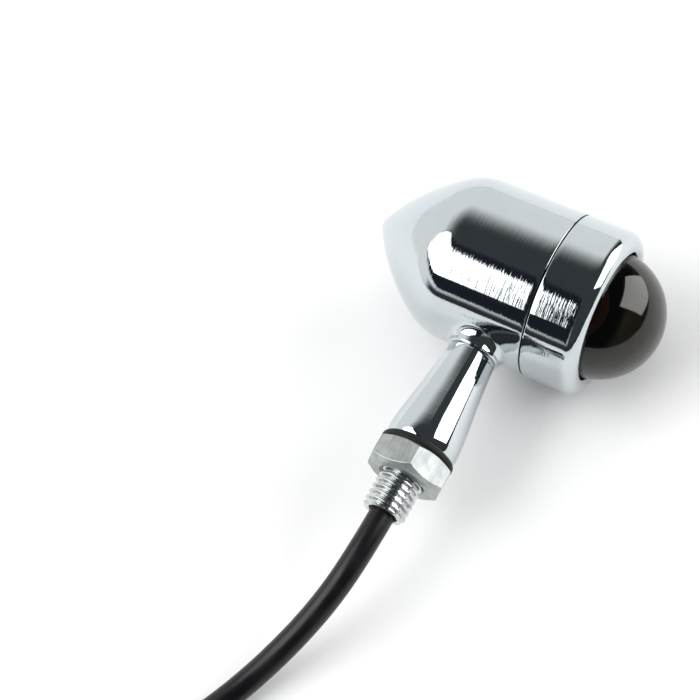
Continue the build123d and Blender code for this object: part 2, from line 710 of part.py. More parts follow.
ground_points = (
    (LUG_BARREL_X, AXIS_Y + LUG_BARREL[1], POST_Z),
    (LUG_BARREL_X, AXIS_Y - 10.9, POST_Z),
    (LUG_BARREL_X + 2.4, AXIS_Y - 12.2, POST_Z - 4.4),
    (-2.2, WALL_Y + 1.0, LEAD_Z + 1.9),
    (0, WALL_Y - 2.2, LEAD_Z),
    (0, SLEEVE_START_Y, LEAD_Z),
)
save(lead(ground_points), "ground_lead")

# ---- cord: bushing in the stud, outer sleeve, put-away coil with its tie ----
BUSHING_Y = (STUD_END_Y, -14.0)
with BuildPart() as cord_bushing:
    with BuildSketch(below(BUSHING_Y[1])):
        Circle(STUD_BORE_R)
        Circle(SLEEVE_R, mode=Mode.SUBTRACT)
    extrude(amount=BUSHING_Y[1] - BUSHING_Y[0])
save(cord_bushing.part, "cord_bushing")

FLOOR_LINE = FLOOR_Z + SLEEVE_R + FLOOR_GAP
COIL_R = 31.0                # middle of the turns
COIL_CENTRE = (-3.2, -107.5)
COIL_IN = 150.0              # where the cord joins the coil, in degrees about its centre
COIL_OUT = 270.0
CORD_ROUTE = [
    (0, SLEEVE_START_Y, 0),
    (0, -25.5, 0),
    (-3.6, -39.5, -7.0),
    (-10.5, -55.0, -14.6),
    (-18.0, -71.0, FLOOR_LINE),
    (COIL_CENTRE[0] + polar(COIL_R, COIL_IN)[0], COIL_CENTRE[1] + polar(COIL_R, COIL_IN)[1], FLOOR_LINE),
]

cord_radii = arc_radii(CORD_ROUTE)
print("cord arc radii:", [round(r, 1) for r in cord_radii])
with BuildPart() as cord_sleeve:
    with BuildLine() as cord_path:
        FilletPolyline(*CORD_ROUTE, radius=cord_radii)
    with BuildSketch(Plane(origin=cord_path.line @ 0, z_dir=cord_path.line % 0)):
        Circle(SLEEVE_R)
    sweep(path=cord_path.line)
cord_length = sum(edge.length for edge in cord_path.edges())
cord_ratio = cord_sleeve.part.volume / (pi * SLEEVE_R**2 * cord_length)
print("cord volume over section times length:", round(cord_ratio, 4))
save(cord_sleeve.part, "cord_sleeve")

COIL_PLANE = Plane(origin=(*COIL_CENTRE, FLOOR_Z))
COIL_T = 4 * SLEEVE_R
COIL_FILLET = 2.0
with BuildPart() as cord_coil:
    with BuildSketch(COIL_PLANE):
        Circle(COIL_R + SLEEVE_R)
        Circle(COIL_R - SLEEVE_R, mode=Mode.SUBTRACT)
    extrude(amount=COIL_T)
    fillet(cord_coil.edges().filter_by(GeomType.CIRCLE), COIL_FILLET)
save(cord_coil.part, "cord_coil")

TIE_T = 1.0
TIE_GAP = 0.15
TIE_W = 4.0
with BuildPart() as coil_tie:
    with BuildSketch(Plane(origin=(COIL_CENTRE[0] + COIL_R, COIL_CENTRE[1], 0), x_dir=(1, 0, 0),
                           z_dir=(0, 1, 0))):
        with Locations((0, -(FLOOR_Z + (COIL_T + TIE_T) / 2))):
            Rectangle(2 * (SLEEVE_R + TIE_T), COIL_T + TIE_T)
        with Locations((0, -(FLOOR_Z + COIL_T / 2))):
            Rectangle(2 * (SLEEVE_R + TIE_GAP), COIL_T, mode=Mode.SUBTRACT)
    extrude(amount=TIE_W / 2, both=True)
save(coil_tie.part, "coil_tie")

# ---- far end: two leads out of the sleeve, each into a bullet plug with an insulating boot ----
END_X = COIL_CENTRE[0] + polar(COIL_R, COIL_OUT)[0]
END_Y = COIL_CENTRE[1] + polar(COIL_R, COIL_OUT)[1]
SLEEVE_END = (END_X, END_Y, FLOOR_LINE + 2 * SLEEVE_R)
SLEEVE_TAIL = 3.0            # straight end of the sleeve past the coil
BOOT_R = 2.5
BOOT_FILLET = 1.2
BOOT_LENGTH = 15.0
BOOT_Z = FLOOR_Z + BOOT_R + FLOOR_GAP
PLUG_R = 2.0
PLUG_NECK_R = 1.5
PLUG_NOSE = 1.5
PLUG_LENGTH = 6.0
PLUG_X = SLEEVE_END[0] + 27.0
PLUG_SPACING = (-7.0, 1.0)   # along Y from the sleeve's end, live and ground
with BuildPart() as sleeve_end:
    with BuildSketch(Plane(origin=SLEEVE_END, z_dir=(1, 0, 0))):
        Circle(SLEEVE_R)
    extrude(amount=SLEEVE_TAIL)
save(sleeve_end.part, "sleeve_end")

for name, side, offset in (("live", -1, PLUG_SPACING[0]), ("ground", 1, PLUG_SPACING[1])):
    out_y = SLEEVE_END[1] + side * LEAD_Z
    plug_y = SLEEVE_END[1] + offset
    end_points = (
        (SLEEVE_END[0] + SLEEVE_TAIL, out_y, SLEEVE_END[2]),
        (SLEEVE_END[0] + 9.5, out_y, SLEEVE_END[2]),
        (SLEEVE_END[0] + 16.0, (out_y + plug_y) / 2 - 0.5, (SLEEVE_END[2] + BOOT_Z) / 2),
        (SLEEVE_END[0] + 21.5, plug_y, BOOT_Z),
        (PLUG_X, plug_y, BOOT_Z),
    )
    save(lead(end_points), f"{name}_tail")
    with BuildPart() as boot:
        with BuildSketch(Plane(origin=(PLUG_X, plug_y, BOOT_Z), z_dir=(1, 0, 0))):
            Circle(BOOT_R)
        extrude(amount=BOOT_LENGTH)
        fillet(boot.edges().filter_by(GeomType.CIRCLE).sort_by(Axis.X)[0], BOOT_FILLET)
    save(boot.part, f"{name}_boot")
    with BuildPart() as plug:
        with BuildSketch(Plane(origin=(PLUG_X + BOOT_LENGTH, plug_y, BOOT_Z), z_dir=(1, 0, 0))):
            Circle(PLUG_NECK_R)
        extrude(amount=PLUG_LENGTH - PLUG_R)
        with BuildSketch(
            Plane(origin=(PLUG_X + BOOT_LENGTH + PLUG_LENGTH - PLUG_R, plug_y, BOOT_Z), z_dir=(1, 0, 0))
        ):
            Circle(PLUG_R)
        extrude(amount=2 * PLUG_R)
        fillet(plug.edges().filter_by(GeomType.CIRCLE).sort_by(Axis.X)[-1], PLUG_NOSE)
    save(plug.part, f"{name}_plug")
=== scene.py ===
"""Chrome bullet turn signal lying on a pale table, in the CAD model's frame (metres, +Z up)."""

from math import atan2, cos, degrees, hypot, pi, radians, sin, sqrt, tan

import bmesh
import bpy
from mathutils import Matrix, Vector


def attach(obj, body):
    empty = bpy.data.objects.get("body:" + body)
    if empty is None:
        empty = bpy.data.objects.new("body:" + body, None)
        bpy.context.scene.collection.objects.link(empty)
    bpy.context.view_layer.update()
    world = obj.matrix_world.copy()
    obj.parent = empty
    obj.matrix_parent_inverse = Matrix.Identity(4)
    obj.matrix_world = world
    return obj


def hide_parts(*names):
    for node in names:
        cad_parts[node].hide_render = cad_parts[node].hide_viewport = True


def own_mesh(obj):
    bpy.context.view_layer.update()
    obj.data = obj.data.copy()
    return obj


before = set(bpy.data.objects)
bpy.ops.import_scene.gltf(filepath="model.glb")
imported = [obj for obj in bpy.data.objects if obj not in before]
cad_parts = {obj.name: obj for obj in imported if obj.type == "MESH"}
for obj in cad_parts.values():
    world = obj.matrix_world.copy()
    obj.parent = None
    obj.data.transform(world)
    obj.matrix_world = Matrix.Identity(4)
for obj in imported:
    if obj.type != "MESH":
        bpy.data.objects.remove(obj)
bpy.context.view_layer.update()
MM = 0.001

# ---- dimensions in millimetres, the same as the CAD model's ----
BODY_R = 19.5
AXIS_Y = 47.5
FLOOR_Z = -BODY_R
SEAM_X = 10.6
SEAM_EDGE_R = 0.22
WALL = 1.9
BEZEL_END_X = 23.6
BEZEL_EDGE_R = 3.2
BEZEL_INNER_R = 1.0
BEZEL_LIP_X = 20.0
BEZEL_OPENING_R = 15.2
BEZEL_BORE_R = 17.56
SPIGOT_R = 17.5
SPIGOT_BORE_R = 15.9
SPIGOT_END_X = 16.0
LENS_R = 14.95
LENS_WALL = 2.0
LENS_CENTRE_X = 20.8
LENS_FLANGE_X = (17.47, 19.97)
LENS_FLANGE_R = 17.2
GLASS_CENTRE_X = 13.5
GLASS_R = 9.0
GLASS_NECK_R = 7.0
GLASS_WALL = 0.6
STEM_LENGTH = 26.0
STUD_R = 5.0
STUD_PITCH = 1.5
STUD_ROOT_R = 4.08
STUD_BORE_R = 3.3
STUD_END_Y = -16.2
STUD_TOP_Y = 9.0
THREAD_TOP_Y = 1.5
WASHER_R = 7.9
WASHER_T = 0.5
NUT_TOP_Y = -0.52
NUT_T = 7.0
NUT_FLATS = 17.0
NUT_FACE_R = NUT_FLATS / 2 * 0.88
NUT_CHAMFER = 30.0
NUT_TURN = 15.0
RUNNING_GAP = 0.05
SLEEVE_R = 2.9
FLOOR_LINE = FLOOR_Z + SLEEVE_R + RUNNING_GAP


# ---- camera, at the photograph's viewing angle ----
AZIMUTH, ELEVATION, ROLL = 43.34, 62.47, -16.17
DISTANCE = 0.45
AIM = (-21.3, 11.0, 11.8)


def place_camera():
    azimuth, elevation, roll = radians(AZIMUTH), radians(ELEVATION), radians(ROLL)
    aim = Vector(AIM) * MM
    back = Vector((sin(azimuth) * cos(elevation), -cos(azimuth) * cos(elevation), sin(elevation)))
    right = (-back).cross(Vector((0, 0, 1))).normalized()
    up = right.cross(-back)
    turned_right = cos(roll) * right + sin(roll) * up
    turned_up = cos(roll) * up - sin(roll) * right
    camera = bpy.data.objects.new("camera", bpy.data.cameras.new("camera"))
    camera.data.sensor_width = 36
    camera.data.lens = 106.0
    camera.data.clip_start = 0.01
    camera.data.clip_end = 20
    matrix = Matrix((turned_right, turned_up, back)).transposed().to_4x4()
    matrix.translation = aim + DISTANCE * back
    camera.matrix_world = matrix
    bpy.context.scene.collection.objects.link(camera)
    bpy.context.scene.camera = camera


place_camera()
bpy.context.scene.view_settings.view_transform = "Standard"


# ---- node helpers ----
class Nodes:
    """A node tree with one-line ways to add and join nodes."""

    def __init__(self, tree):
        self.tree = tree

    def add(self, kind, inputs=None, **settings):
        node = self.tree.nodes.new(kind)
        for key, value in settings.items():
            setattr(node, key, value)
        for key, value in (inputs or {}).items():
            self.put(value, node.inputs[key])
        return node

    def put(self, value, socket):
        if isinstance(value, bpy.types.NodeSocket):
            self.tree.links.new(value, socket)
        else:
            socket.default_value = value

    def math(self, operation, a, b=0.0):
        node = self.tree.nodes.new("ShaderNodeMath")
        node.operation = operation
        self.put(a, node.inputs[0])
        self.put(b, node.inputs[1])
        return node.outputs[0]

    def vector(self, operation, a, b=(0, 0, 0), output="Vector"):
        node = self.tree.nodes.new("ShaderNodeVectorMath")
        node.operation = operation
        self.put(a, node.inputs[0])
        self.put(b, node.inputs[1])
        return node.outputs[output]

    def smooth(self, value, low, high, to_low=0.0, to_high=1.0):
        node = self.tree.nodes.new("ShaderNodeMapRange")
        node.interpolation_type = "SMOOTHSTEP"
        self.put(value, node.inputs["Value"])
        node.inputs["From Min"].default_value = low
        node.inputs["From Max"].default_value = high
        node.inputs["To Min"].default_value = to_low
        node.inputs["To Max"].default_value = to_high
        return node.outputs["Result"]

    def mix(self, factor, a, b):
        node = self.tree.nodes.new("ShaderNodeMix")
        node.data_type = "RGBA"
        self.put(factor, node.inputs[0])
        self.put(a, node.inputs[6])
        self.put(b, node.inputs[7])
        return node.outputs[2]

    def noise(self, vector, scale, detail=2.0, roughness=0.5):
        node = self.add("ShaderNodeTexNoise", {"Vector": vector, "Scale": scale, "Detail": detail,
                                               "Roughness": roughness})
        return node.outputs["Fac"]


def grey(value):
    return (value, value, value, 1.0)


# ---- studio light: a bright backdrop to the left and behind, two softboxes, and a dark room elsewhere ----
# each outline's corners are degrees from the zenith toward +X and +Y
KEY_FRAME = ((-69, -17), (-33, 4), (4, -28), (-8, -83), (-44, -60))
KEY = ((-66, -19), (-53, -3), (-33, 1), (-15, -27), (-19, -58), (-38, -54))
FILL = ((17, 58), (38, 4), (77, 22), (34, 92))
SOFTBOX = 4.5
ROOM_COLOUR = (0.05, 0.055, 0.06, 1.0)
HORIZON_COLOUR = (0.04, 0.04, 0.045, 1.0)
FRAME_COLOUR = (0.015, 0.018, 0.025, 1.0)
SEEN_BACKDROP = 0.92


def sky_direction(dx, dy):
    """Direction this many degrees from the zenith toward +X and +Y."""
    lean = hypot(dx, dy)
    side = sin(radians(lean)) / max(lean, 1e-6)
    return Vector((side * dx, side * dy, cos(radians(lean))))


def sky_patch(n, direction, corners, blur):
    """1 inside the convex patch of sky between these corners and 0 outside, with a soft edge."""
    points = [sky_direction(*corner) for corner in corners]
    middle = sum(points, Vector())
    inside = None
    for a, b in zip(points, points[1:] + points[:1]):
        normal = a.cross(b).normalized()
        if normal.dot(middle) < 0:
            normal = -normal
        side = n.vector("DOT_PRODUCT", direction, tuple(normal), "Value")
        edge = n.smooth(side, -blur, blur)
        inside = edge if inside is None else n.math("MULTIPLY", inside, edge)
    return inside


def light_studio():
    world = bpy.data.worlds.new("studio")
    bpy.context.scene.world = world
    world.use_nodes = True
    world.node_tree.nodes.clear()
    n = Nodes(world.node_tree)
    direction = n.add("ShaderNodeTexCoord").outputs["Generated"]
    split = n.add("ShaderNodeSeparateXYZ", {"Vector": direction})
    x, y, z = split.outputs
    # the room is dark past x = 0 and round the zenith
    room = n.smooth(x, -0.16, 0.1)
    overhead = n.vector("DOT_PRODUCT", direction, tuple(sky_direction(2, 3)), "Value")
    ceiling = n.smooth(overhead, cos(radians(52)), cos(radians(22)))
    dark = n.math("MAXIMUM", room, ceiling)
    light = n.mix(dark, grey(1.0), ROOM_COLOUR)
    # a dark band lies along the horizon, but not behind the lamp or far to its left
    low = n.smooth(n.math("ABSOLUTE", n.math("SUBTRACT", z, 0.04)), 0.05, 0.17)
    behind = n.smooth(y, 0.4, 0.6)
    left = n.smooth(x, -0.5, -0.72)
    open_sky = n.math("MAXIMUM", n.math("MAXIMUM", low, behind), left)
    light = n.mix(open_sky, HORIZON_COLOUR, light)
    light = n.mix(sky_patch(n, direction, KEY_FRAME, 0.012), light, FRAME_COLOUR)
    light = n.mix(sky_patch(n, direction, KEY, 0.01), light, grey(SOFTBOX))
    light = n.mix(sky_patch(n, direction, FILL, 0.02), light, grey(SOFTBOX))
    # the backdrop looks plain
    seen = n.add("ShaderNodeLightPath").outputs["Is Camera Ray"]
    light = n.mix(seen, light, grey(SEEN_BACKDROP))
    background = n.add("ShaderNodeBackground", {"Color": light, "Strength": 1.0})
    output = n.add("ShaderNodeOutputWorld")
    world.node_tree.links.new(background.outputs[0], output.inputs["Surface"])


def light_table():
    """A wide soft light overhead that evens out the table and stays out of the reflections."""
    light = bpy.data.lights.new("overhead", "AREA")
    light.shape = "DISK"
    light.size = 1.4
    light.energy = 6.3
    lamp = bpy.data.objects.new("overhead", light)
    lamp.location = (-0.1, 0.1, 1.2)
    lamp.visible_camera = False
    lamp.visible_glossy = False
    lamp.visible_transmission = False
    bpy.context.scene.collection.objects.link(lamp)


light_studio()
light_table()


# ---- materials ----
M = {}
CHROME = (0.60, 0.645, 0.665)
CLOUDED_CHROME = (0.56, 0.60, 0.62)
ZINC = (0.62, 0.64, 0.64)
# near black, painted as shade in the seam between housing and bezel
SEAM_PAINTED_SHADE = (0.012, 0.012, 0.013)


def material(name, colour, metallic, roughness, build, **sockets):
    """A principled material, kept in M by its name; build(n, shader, place) adds its detail."""
    made = bpy.data.materials.new(name)
    M[name] = made
    made.use_nodes = True
    made.node_tree.nodes.clear()
    n = Nodes(made.node_tree)
    output = n.add("ShaderNodeOutputMaterial")
    shader = n.add("ShaderNodeBsdfPrincipled")
    made.node_tree.links.new(shader.outputs[0], output.inputs["Surface"])
    shader.inputs["Base Color"].default_value = (*colour, 1.0)
    shader.inputs["Metallic"].default_value = metallic
    shader.inputs["Roughness"].default_value = roughness
    for key, value in sockets.items():
        shader.inputs[key.replace("_", " ")].default_value = value
    place = n.add("ShaderNodeTexCoord").outputs["Object"]
    build(n, shader, place)
    return made


def bump(n, shader, height, distance, strength):
    node = n.add("ShaderNodeBump", {"Height": height, "Distance": distance, "Strength": strength})
    n.put(node.outputs["Normal"], shader.inputs["Normal"])


def stretched(n, place, scale):
    return n.vector("MULTIPLY", place, scale)


def outside_seam(n, place):
    """0 down in the seam between housing and bezel, where shade is painted, and 1 elsewhere."""
    x, y, z = n.add("ShaderNodeSeparateXYZ", {"Vector": place}).outputs
    along = n.math("ABSOLUTE", n.math("SUBTRACT", x, SEAM_X * MM))
    across = n.math("SUBTRACT", y, AXIS_Y * MM)
    out = n.math("SQRT", n.math("ADD", n.math("MULTIPLY", across, across), n.math("MULTIPLY", z, z)))
    skin = n.smooth(out, (BODY_R - 0.12) * MM, (BODY_R - 0.02) * MM)
    return n.math("MAXIMUM", n.smooth(along, 0.5 * MM, 1.0 * MM), skin)


def polished(stretch, mark, seam=False):
    """Polished plating: polishing rings across this stretch, a faint orange peel, and painted shade down in
    the seam.
    """

    def build(n, shader, place):
        rings = n.noise(stretched(n, place, stretch), 1.0, 3.0, 0.6)
        peel = n.noise(place, 260.0, 1.0)
        height = n.math("ADD", n.math("MULTIPLY", rings, 0.9 * mark), n.math("MULTIPLY", peel, 0.8))
        bump(n, shader, height, 0.00002, 1.0)
        cloud = n.noise(place, 90.0, 4.0, 0.6)
        n.put(n.smooth(cloud, 0.35, 0.8, 0.025, 0.075), shader.inputs["Roughness"])
        tint = n.mix(n.smooth(cloud, 0.2, 0.9), (*CHROME, 1.0), (*CLOUDED_CHROME, 1.0))
        if seam:
            # painted shade: the plating turns near black down in the seam
            tint = n.mix(outside_seam(n, place), (*SEAM_PAINTED_SHADE, 1.0), tint)
        n.put(tint, shader.inputs["Base Color"])

    return build


def brushed(stretch, low, high, light, dark):
    """Metal brushed one way, from low to high roughness and from dark to light."""

    def build(n, shader, place):
        lines = n.noise(stretched(n, place, stretch), 1.0, 5.0, 0.7)
        cloud = n.noise(place, 300.0, 3.0)
        n.put(n.smooth(lines, 0.25, 0.75, low, high), shader.inputs["Roughness"])
        both = n.math("MULTIPLY", n.math("ADD", lines, cloud), 0.5)
        tint = n.mix(n.smooth(both, 0.35, 0.65), (*dark, 1.0), (*light, 1.0))
        n.put(tint, shader.inputs["Base Color"])
        bump(n, shader, lines, 0.00003, 0.8)

    return build


def moulded(colour, other, scale=900.0, depth=0.00003, low=0.35, high=0.55):
    """Moulded plastic or rubber with a fine grain and uneven gloss."""

    def build(n, shader, place):
        grain = n.noise(place, scale, 3.0)
        cloud = n.noise(place, scale / 12, 3.0)
        bump(n, shader, grain, depth, 0.7)
        n.put(n.smooth(cloud, 0.3, 0.7, low, high), shader.inputs["Roughness"])
        n.put(n.mix(n.smooth(cloud, 0.3, 0.7), (*colour, 1.0), (*other, 1.0)), shader.inputs["Base Color"])

    return build


def clear(n, shader, place):
    """Clear glass with a slightly uneven gloss."""
    cloud = n.noise(place, 200.0, 3.0)
    n.put(n.smooth(cloud, 0.5, 0.9, 0.0, 0.05), shader.inputs["Roughness"])


def smoke(n, shader, place):
    """Smoked lens: tinted through its thickness, with a few dust specks in the gloss."""
    cloud = n.noise(place, 700.0, 5.0, 0.7)
    n.put(n.smooth(cloud, 0.62, 0.8, 0.01, 0.12), shader.inputs["Roughness"])
    haze = n.noise(stretched(n, place, (60.0, 500.0, 500.0)), 1.0, 2.0)
    n.put(n.mix(haze, (0.50, 0.47, 0.38, 1.0), (0.42, 0.40, 0.33, 1.0)), shader.inputs["Base Color"])
    body = n.add("ShaderNodeVolumeAbsorption", {"Color": (0.34, 0.32, 0.24, 1.0), "Density": 900.0})
    output = next(node for node in n.tree.nodes if node.type == "OUTPUT_MATERIAL")
    n.put(body.outputs[0], output.inputs["Volume"])


# plating and bare metal
# housing and bezel plating, with painted shade in the seam
material("chrome_x", CHROME, 1.0, 0.04, polished((2300.0, 150.0, 150.0), 1.0, True))
material("chrome_y", CHROME, 1.0, 0.04, polished((150.0, 1800.0, 150.0), 0.6))
material("stud_steel", ZINC, 1.0, 0.2,
         brushed((500.0, 2500.0, 500.0), 0.08, 0.22, (0.72, 0.74, 0.74), (0.46, 0.48, 0.48)))
material("nut_steel", ZINC, 1.0, 0.3,
         brushed((5200.0, 240.0, 5200.0), 0.34, 0.5, (0.52, 0.55, 0.54), (0.30, 0.32, 0.32)))
material("bright_dish", (0.8, 0.8, 0.8), 1.0, 0.15,
         brushed((900.0, 60.0, 60.0), 0.08, 0.22, (0.85, 0.85, 0.86), (0.7, 0.7, 0.71)))
material("brass", (0.78, 0.56, 0.25), 1.0, 0.25,
         brushed((2200.0, 700.0, 700.0), 0.15, 0.35, (0.80, 0.60, 0.28), (0.62, 0.44, 0.18)))
material("plated_brass", (0.7, 0.68, 0.6), 1.0, 0.25,
         brushed((1800.0, 200.0, 200.0), 0.15, 0.32, (0.74, 0.72, 0.66), (0.55, 0.53, 0.47)))
material("solder", (0.6, 0.61, 0.62), 1.0, 0.35,
         brushed((900.0, 900.0, 900.0), 0.28, 0.5, (0.64, 0.65, 0.66), (0.45, 0.46, 0.47)))
material("tungsten", (0.3, 0.3, 0.32), 1.0, 0.4,
         brushed((600.0, 600.0, 5200.0), 0.3, 0.5, (0.42, 0.42, 0.44), (0.2, 0.2, 0.22)))
material("spring_steel", (0.55, 0.55, 0.57), 1.0, 0.25,
         brushed((300.0, 1500.0, 1500.0), 0.2, 0.35, (0.6, 0.6, 0.62), (0.4, 0.4, 0.42)))
material("plated_steel", (0.66, 0.66, 0.6), 1.0, 0.3,
         brushed((400.0, 1600.0, 400.0), 0.22, 0.4, (0.7, 0.7, 0.64), (0.5, 0.5, 0.46)))

# glass
material("smoked_lens", (0.46, 0.44, 0.36), 0.0, 0.02, smoke, Transmission_Weight=1.0, IOR=1.49)
material("amber_glass", (0.9, 0.22, 0.03), 0.0, 0.03, clear, Transmission_Weight=0.75, IOR=1.5)
material("clear_glass", (0.92, 0.95, 0.95), 0.0, 0.03, clear, Transmission_Weight=0.9, IOR=1.5)
material("black_glass", (0.02, 0.02, 0.025), 0.0, 0.15,
         moulded((0.015, 0.015, 0.02), (0.04, 0.04, 0.045), low=0.08, high=0.2))

# rubber and plastic
material("black_rubber", (0.012, 0.012, 0.012), 0.0, 0.6,
         moulded((0.005, 0.005, 0.005), (0.01, 0.01, 0.01), low=0.5, high=0.7), Specular_IOR_Level=0.25)
material("phenolic", (0.2, 0.09, 0.035), 0.0, 0.5, moulded((0.2, 0.09, 0.035), (0.13, 0.055, 0.02)))
material("live_pvc", (0.75, 0.25, 0.02), 0.0, 0.4, moulded((0.78, 0.26, 0.02), (0.66, 0.2, 0.015)))
material("ground_pvc", (0.02, 0.02, 0.02), 0.0, 0.4, moulded((0.018, 0.018, 0.018), (0.03, 0.03, 0.03)))
material("sleeve_pvc", (0.012, 0.012, 0.013), 0.0, 0.42,
         moulded((0.004, 0.004, 0.005), (0.008, 0.008, 0.009), 1400.0, 0.00002, 0.26, 0.38),
         Specular_IOR_Level=0.3)
material("boot_pvc", (0.6, 0.62, 0.6), 0.0, 0.35, moulded((0.62, 0.64, 0.62), (0.5, 0.52, 0.5)),
         Transmission_Weight=0.35)
material("tie_nylon", (0.02, 0.02, 0.02), 0.0, 0.45,
         moulded((0.018, 0.018, 0.018), (0.035, 0.035, 0.035), 1600.0))


# ---- mesh helpers ----
def finish_mesh(name, made, finish, body, nodes, smooth_angle=32.0):
    """Makes a bmesh into a piece, smooth but for edges that turn more than this angle."""
    bmesh.ops.recalc_face_normals(made, faces=made.faces)
    mesh = bpy.data.meshes.new(name)
    made.to_mesh(mesh)
    made.free()
    piece = bpy.data.objects.new(name, mesh)
    bpy.context.scene.collection.objects.link(piece)
    mesh.shade_smooth()
    mesh.set_sharp_from_angle(angle=radians(smooth_angle))
    dress(piece, finish, body, nodes)
    return piece


def dress(piece, finish, body, nodes):
    """Gives a piece its material and body, and hides the CAD nodes that it stands for."""
    piece.data.materials.append(M[finish])
    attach(piece, body)
    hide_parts(*nodes)


def round_edges(piece, width, angle):
    """Bevels the edges that turn more than this many degrees."""
    edge = piece.modifiers.new("edge", "BEVEL")
    edge.width = width * MM
    edge.segments = 2
    edge.limit_method = "ANGLE"
    edge.angle_limit = radians(angle)
    edge.harden_normals = True


def along_x(a, r, t):
    """The point at this position, radius and turn about the lens axis."""
    return Vector((a, AXIS_Y + r * sin(t), r * cos(t))) * MM


def along_y(a, r, t):
    """The point at this position, radius and turn about the stem's axis."""
    return Vector((r * cos(t), a, r * sin(t))) * MM


def turns(segments):
    """Equal turns round a full circle."""
    return [2 * pi * k / segments for k in range(segments)]


def join_rings(made, rings):
    """Faces between each ring of vertices and the next."""
    for first, second in zip(rings, rings[1:]):
        count = len(first)
        for k in range(count):
            m = (k + 1) % count
            made.faces.new((first[k], first[m], second[m], second[k]))


def revolve(made, profile, place, segments=192, closed=True):
    """Turns a profile of (position, radius) about an axis; a point on the axis becomes a pole."""
    rings = []
    for a, r in profile:
        if r < 1e-6:
            rings.append([made.verts.new(place(a, 0, 0))] * segments)
        else:
            rings.append([made.verts.new(place(a, r, t)) for t in turns(segments)])
    pairs = list(zip(rings, rings[1:]))
    if closed:
        pairs.append((rings[-1], rings[0]))
    for first, second in pairs:
        if first[0] is first[1] and second[0] is second[1]:
            continue
        for k in range(segments):
            m = (k + 1) % segments
            corners = []
            for vert in (first[k], first[m], second[m], second[k]):
                if vert not in corners:
                    corners.append(vert)
            made.faces.new(corners)


def arc(centre, radius, start, end, steps):
    """Points on an arc, angles in degrees."""
    out = []
    for k in range(steps + 1):
        angle = radians(start + (end - start) * k / steps)
        out.append((centre[0] + radius * cos(angle), centre[1] + radius * sin(angle)))
    return out


def eased(points, steps=6):
    """Replaces each (a, r, radius) corner by an arc of that radius; plain (a, r) points stay."""
    out = []
    count = len(points)
    for k, point in enumerate(points):
        corner = Vector(point[:2])
        if len(point) == 2:
            out.append(tuple(corner))
            continue
        before = (Vector(points[k - 1][:2]) - corner).normalized()
        after = (Vector(points[(k + 1) % count][:2]) - corner).normalized()
        half = before.angle(after) / 2
        centre = corner + (before + after).normalized() * point[2] / sin(half)
        start = corner + before * point[2] / tan(half) - centre
        end = corner + after * point[2] / tan(half) - centre
        for j in range(steps + 1):
            out.append(tuple(centre + start.slerp(end, j / steps)))
    return out


def spread(points, step):
    """Adds points along straight stretches longer than this step."""
    out = [points[0]]
    for a, b in zip(points, points[1:]):
        pieces = max(1, int(hypot(b[0] - a[0], b[1] - a[1]) / step))
        for k in range(1, pieces + 1):
            out.append((a[0] + (b[0] - a[0]) * k / pieces, a[1] + (b[1] - a[1]) * k / pieces))
    return out


# ---- housing ----
CYLINDER_X = -10.8
CHEEK_R = 13.5
CHEEK_TURN = 31.6
FLANK_R = 49.0
TIP_R = 3.5
CHEEK = (CYLINDER_X, BODY_R - CHEEK_R)
FLANK = (CHEEK[0] + (FLANK_R - CHEEK_R) * sin(radians(CHEEK_TURN)),
         CHEEK[1] - (FLANK_R - CHEEK_R) * cos(radians(CHEEK_TURN)))
FLANK_TURN = degrees(atan2(sqrt((FLANK_R - TIP_R) ** 2 - FLANK[1] ** 2), -FLANK[1]))
TIP_X = FLANK[0] - (FLANK_R - TIP_R) * sin(radians(FLANK_TURN))


def nose(inset, steps):
    """The nose's profile from tip to cylinder."""
    tip = arc((TIP_X, 0), TIP_R - inset, 180, 90 + FLANK_TURN, steps)
    flank = arc(FLANK, FLANK_R - inset, 90 + FLANK_TURN, 90 + CHEEK_TURN, 2 * steps)
    cheek = arc(CHEEK, CHEEK_R - inset, 90 + CHEEK_TURN, 90, steps)
    return tip[:-1] + flank[:-1] + cheek


BOSS_R = 6.2
BOSS_EDGE_R = 0.35
BOSS_BORE_R = 4.4
BOSS_FILLET = 1.9


def body_surface(radius, angle):
    """Y of the body's lower side at this radius and angle about the stem's axis."""
    return AXIS_Y - sqrt(BODY_R**2 - (radius * sin(angle)) ** 2)


def boss_mesh(made):
    """The boss under the body: a rounded foot, a short wall and a fillet that meets the body's surface."""
    segments = 160
    steps = 16
    rings = []
    edge = arc((BOSS_R - BOSS_EDGE_R, STEM_LENGTH + BOSS_EDGE_R), BOSS_EDGE_R, -90, 0, 5)
    foot = [(BOSS_BORE_R, STEM_LENGTH)] + edge
    for r, y in foot:
        rings.append([Vector((r * cos(t), y, r * sin(t))) for t in turns(segments)])
    for j in range(1, steps + 1):
        u = j / steps
        ring = []
        for t in turns(segments):
            start = Vector((BOSS_R, body_surface(BOSS_R, t) - BOSS_FILLET))
            start.y = max(start.y, STEM_LENGTH + 0.5)
            end = Vector((BOSS_R + BOSS_FILLET, body_surface(BOSS_R + BOSS_FILLET, t)))
            before = Vector((end.x - 0.2, body_surface(end.x - 0.2, t)))
            lean = (before - end).normalized()
            handle = Vector((BOSS_R, start.y + 0.6 * BOSS_FILLET))
            other = end + lean * 0.6 * BOSS_FILLET
            spot = ((1 - u) ** 3 * start + 3 * u * (1 - u) ** 2 * handle
                    + 3 * u * u * (1 - u) * other + u**3 * end)
            ring.append(Vector((spot.x * cos(t), spot.y, spot.x * sin(t))))
        rings.append(ring)
    join_rings(made, [[made.verts.new(point * MM) for point in ring] for ring in rings])


